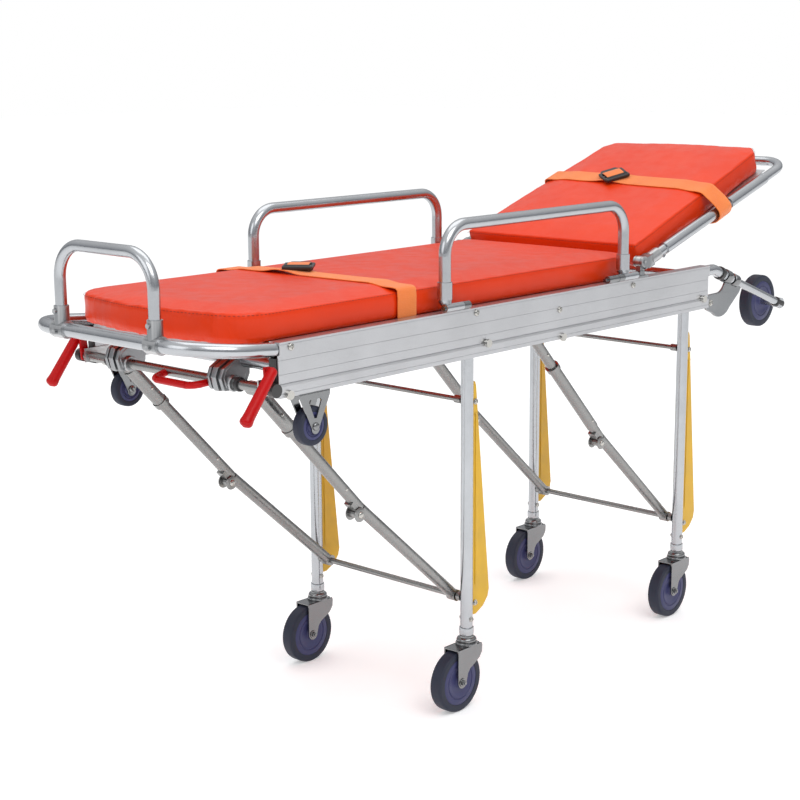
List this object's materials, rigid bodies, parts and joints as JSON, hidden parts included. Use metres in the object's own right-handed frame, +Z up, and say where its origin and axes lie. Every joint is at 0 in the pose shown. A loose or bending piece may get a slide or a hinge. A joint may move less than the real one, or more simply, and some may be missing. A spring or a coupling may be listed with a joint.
{
  "type": "stretcher trolley",
  "caption": "Self-loading ambulance stretcher trolley with folding legs, swivel casters, fold-down side guards, raised backrest, straps and loading wheels.",
  "frame": {"origin": "on the floor, under the middle of the trolley's bounding box at rest", "axes": "+X from the foot end to the head end, +Y across to the patient's right hand side, +Z up"},
  "size_m": [1.897, 0.553, 1.0737],
  "materials": {
    "rail_aluminium": "satin anodised",
    "tube_aluminium": "satin polished",
    "brace_steel": "satin",
    "zinc_plate": "bright zinc",
    "steel_bolt": "plain",
    "grey_casting": "matt",
    "black_plastic": "moulded",
    "red_vinyl": "coated",
    "orange_webbing": "woven",
    "red_grip": "soft moulded",
    "yellow_plastic": "smooth",
    "tread_rubber": "smooth",
    "hub_plastic": "moulded",
    "deck_sheet": "plain"
  },
  "bodies": {
    "frame": {"side_rail_left": "rail_aluminium", "side_rail_right": "rail_aluminium", "rail_fasteners": "steel_bolt", "pivot_bolts": "steel_bolt", "rail_end_plugs": "black_plastic", "foot_end_loop": "tube_aluminium", "foot_guard": "tube_aluminium", "foot_guard_clamps": "grey_casting", "bed_cross_tubes": "tube_aluminium", "bed_deck": "deck_sheet", "main_cushion": "red_vinyl", "main_strap": "orange_webbing", "main_buckle": "black_plastic", "support_wheel_forks": "zinc_plate", "guard_hinge_blocks": "zinc_plate", "backrest_posts": "grey_casting", "loading_wheel_arms": "tube_aluminium", "loading_wheel_gussets": "zinc_plate", "release_housings": "grey_casting", "release_bearings": "grey_casting"},
    "foot_legs": {"foot_legs": "tube_aluminium", "foot_leg_crossbar": "brace_steel", "foot_leg_skids": "yellow_plastic"},
    "foot_upper_braces": {"foot_upper_braces": "brace_steel"},
    "foot_lower_braces": {"foot_lower_braces": "brace_steel"},
    "foot_left_caster_fork": {"foot_left_caster_fork": "zinc_plate"},
    "foot_left_caster_wheel": {"foot_left_caster_tyre": "tread_rubber", "foot_left_caster_hub": "hub_plastic"},
    "foot_right_caster_fork": {"foot_right_caster_fork": "zinc_plate"},
    "foot_right_caster_wheel": {"foot_right_caster_tyre": "tread_rubber", "foot_right_caster_hub": "hub_plastic"},
    "head_legs": {"head_legs": "tube_aluminium", "head_leg_crossbar": "brace_steel", "head_leg_skids": "yellow_plastic"},
    "head_upper_braces": {"head_upper_braces": "brace_steel"},
    "head_lower_braces": {"head_lower_braces": "brace_steel"},
    "head_left_caster_fork": {"head_left_caster_fork": "zinc_plate"},
    "head_left_caster_wheel": {"head_left_caster_tyre": "tread_rubber", "head_left_caster_hub": "hub_plastic"},
    "head_right_caster_fork": {"head_right_caster_fork": "zinc_plate"},
    "head_right_caster_wheel": {"head_right_caster_tyre": "tread_rubber", "head_right_caster_hub": "hub_plastic"},
    "support_wheel_left": {"support_wheel_left": "tread_rubber"},
    "loading_wheel_left": {"loading_wheel_left": "tread_rubber"},
    "side_guard_left": {"side_guard_left": "tube_aluminium"},
    "support_wheel_right": {"support_wheel_right": "tread_rubber"},
    "loading_wheel_right": {"loading_wheel_right": "tread_rubber"},
    "side_guard_right": {"side_guard_right": "tube_aluminium"},
    "backrest": {"backrest_frame": "tube_aluminium", "backrest_elbows": "grey_casting", "backrest_deck": "deck_sheet", "backrest_cushion": "red_vinyl", "backrest_strap": "orange_webbing", "backrest_buckle": "black_plastic"},
    "strut_cylinder": {"strut_cylinder": "black_plastic"},
    "strut_rod": {"strut_rod": "zinc_plate"},
    "release_controls": {"release_shaft": "brace_steel", "release_end_caps": "black_plastic", "side_release_handles": "red_grip", "middle_release_grip": "red_grip"}
  },
  "joints": [
    {"name": "foot_legs_fold", "type": "hinge", "parent": "frame", "child": "foot_legs", "pos_m": [-0.23255, 0, 0.7465], "axis": [0, 1, 0], "range_deg": [0, 84.88]},
    {"name": "foot_upper_brace_fold", "type": "hinge", "parent": "frame", "child": "foot_upper_braces", "pos_m": [-0.75655, 0, 0.728], "axis": [0, 1, 0], "range_deg": [-44.4, 0]},
    {"name": "foot_lower_brace_fold", "type": "hinge", "parent": "foot_upper_braces", "child": "foot_lower_braces", "pos_m": [-0.51263, 0, 0.45339], "axis": [0, 1, 0], "range_deg": [0, 185.1]},
    {"name": "foot_left_caster_swivel", "type": "hinge", "parent": "foot_legs", "child": "foot_left_caster_fork", "pos_m": [-0.23255, -0.211, 0.14], "axis": [0, 0, 1], "continuous": true},
    {"name": "foot_left_caster_spin", "type": "hinge", "parent": "foot_left_caster_fork", "child": "foot_left_caster_wheel", "pos_m": [-0.26655, -0.211, 0.0625], "axis": [0, 1, 0], "continuous": true},
    {"name": "foot_right_caster_swivel", "type": "hinge", "parent": "foot_legs", "child": "foot_right_caster_fork", "pos_m": [-0.23255, 0.211, 0.14], "axis": [0, 0, 1], "continuous": true},
    {"name": "foot_right_caster_spin", "type": "hinge", "parent": "foot_right_caster_fork", "child": "foot_right_caster_wheel", "pos_m": [-0.26655, 0.211, 0.0625], "axis": [0, 1, 0], "continuous": true},
    {"name": "head_legs_fold", "type": "hinge", "parent": "frame", "child": "head_legs", "pos_m": [0.52945, 0, 0.7465], "axis": [0, 1, 0], "range_deg": [0, 84.88]},
    {"name": "head_upper_brace_fold", "type": "hinge", "parent": "frame", "child": "head_upper_braces", "pos_m": [0.00545, 0, 0.728], "axis": [0, 1, 0], "range_deg": [-44.4, 0]},
    {"name": "head_lower_brace_fold", "type": "hinge", "parent": "head_upper_braces", "child": "head_lower_braces", "pos_m": [0.24937, 0, 0.45339], "axis": [0, 1, 0], "range_deg": [0, 185.1]},
    {"name": "head_left_caster_swivel", "type": "hinge", "parent": "head_legs", "child": "head_left_caster_fork", "pos_m": [0.52945, -0.211, 0.14], "axis": [0, 0, 1], "continuous": true},
    {"name": "head_left_caster_spin", "type": "hinge", "parent": "head_left_caster_fork", "child": "head_left_caster_wheel", "pos_m": [0.49545, -0.211, 0.0625], "axis": [0, 1, 0], "continuous": true},
    {"name": "head_right_caster_swivel", "type": "hinge", "parent": "head_legs", "child": "head_right_caster_fork", "pos_m": [0.52945, 0.211, 0.14], "axis": [0, 0, 1], "continuous": true},
    {"name": "head_right_caster_spin", "type": "hinge", "parent": "head_right_caster_fork", "child": "head_right_caster_wheel", "pos_m": [0.49545, 0.211, 0.0625], "axis": [0, 1, 0], "continuous": true},
    {"name": "support_wheel_left_spin", "type": "hinge", "parent": "frame", "child": "support_wheel_left", "pos_m": [-0.69655, -0.2495, 0.6635], "axis": [0, 1, 0], "continuous": true},
    {"name": "loading_wheel_left_spin", "type": "hinge", "parent": "frame", "child": "loading_wheel_left", "pos_m": [0.88595, -0.192, 0.697], "axis": [0, 1, 0], "continuous": true},
    {"name": "side_guard_left_hinge", "type": "hinge", "parent": "frame", "child": "side_guard_left", "pos_m": [-0.07705, -0.268, 0.829], "axis": [1, 0, 0], "range_deg": [0, 178]},
    {"name": "support_wheel_right_spin", "type": "hinge", "parent": "frame", "child": "support_wheel_right", "pos_m": [-0.69655, 0.2495, 0.6635], "axis": [0, 1, 0], "continuous": true},
    {"name": "loading_wheel_right_spin", "type": "hinge", "parent": "frame", "child": "loading_wheel_right", "pos_m": [0.88595, 0.192, 0.697], "axis": [0, 1, 0], "continuous": true},
    {"name": "side_guard_right_hinge", "type": "hinge", "parent": "frame", "child": "side_guard_right", "pos_m": [-0.07705, 0.268, 0.829], "axis": [-1, 0, 0], "range_deg": [0, 178]},
    {"name": "backrest_hinge", "type": "hinge", "parent": "frame", "child": "backrest", "pos_m": [0.29495, 0, 0.852], "axis": [0, -1, 0], "range_deg": [-17.2, 50.8]},
    {"name": "strut_pivot", "type": "hinge", "parent": "frame", "child": "strut_cylinder", "pos_m": [0.28295, 0, 0.752], "axis": [0, -1, 0], "range_deg": [-9.61, 27.99]},
    {"name": "strut_stroke", "type": "slide", "parent": "strut_cylinder", "child": "strut_rod", "axis": [0.7823, 0, 0.6229], "range_m": [-0.01719, 0.05039]},
    {"name": "release_turn", "type": "hinge", "parent": "frame", "child": "release_controls", "pos_m": [-0.79005, 0, 0.74], "axis": [0, 1, 0], "range_deg": [0, 12]}
  ],
  "couplings": [
    {"joint": "foot_upper_brace_fold", "follows": "foot_legs_fold", "ratio": -0.52121},
    {"joint": "foot_lower_brace_fold", "follows": "foot_legs_fold", "ratio": 2.1789},
    {"joint": "head_upper_brace_fold", "follows": "head_legs_fold", "ratio": -0.52121},
    {"joint": "head_lower_brace_fold", "follows": "head_legs_fold", "ratio": 2.1789},
    {"joint": "strut_pivot", "follows": "backrest_hinge", "ratio": 0.547},
    {"joint": "strut_stroke", "follows": "backrest_hinge", "m_per_rad": 0.056608}
  ]
}
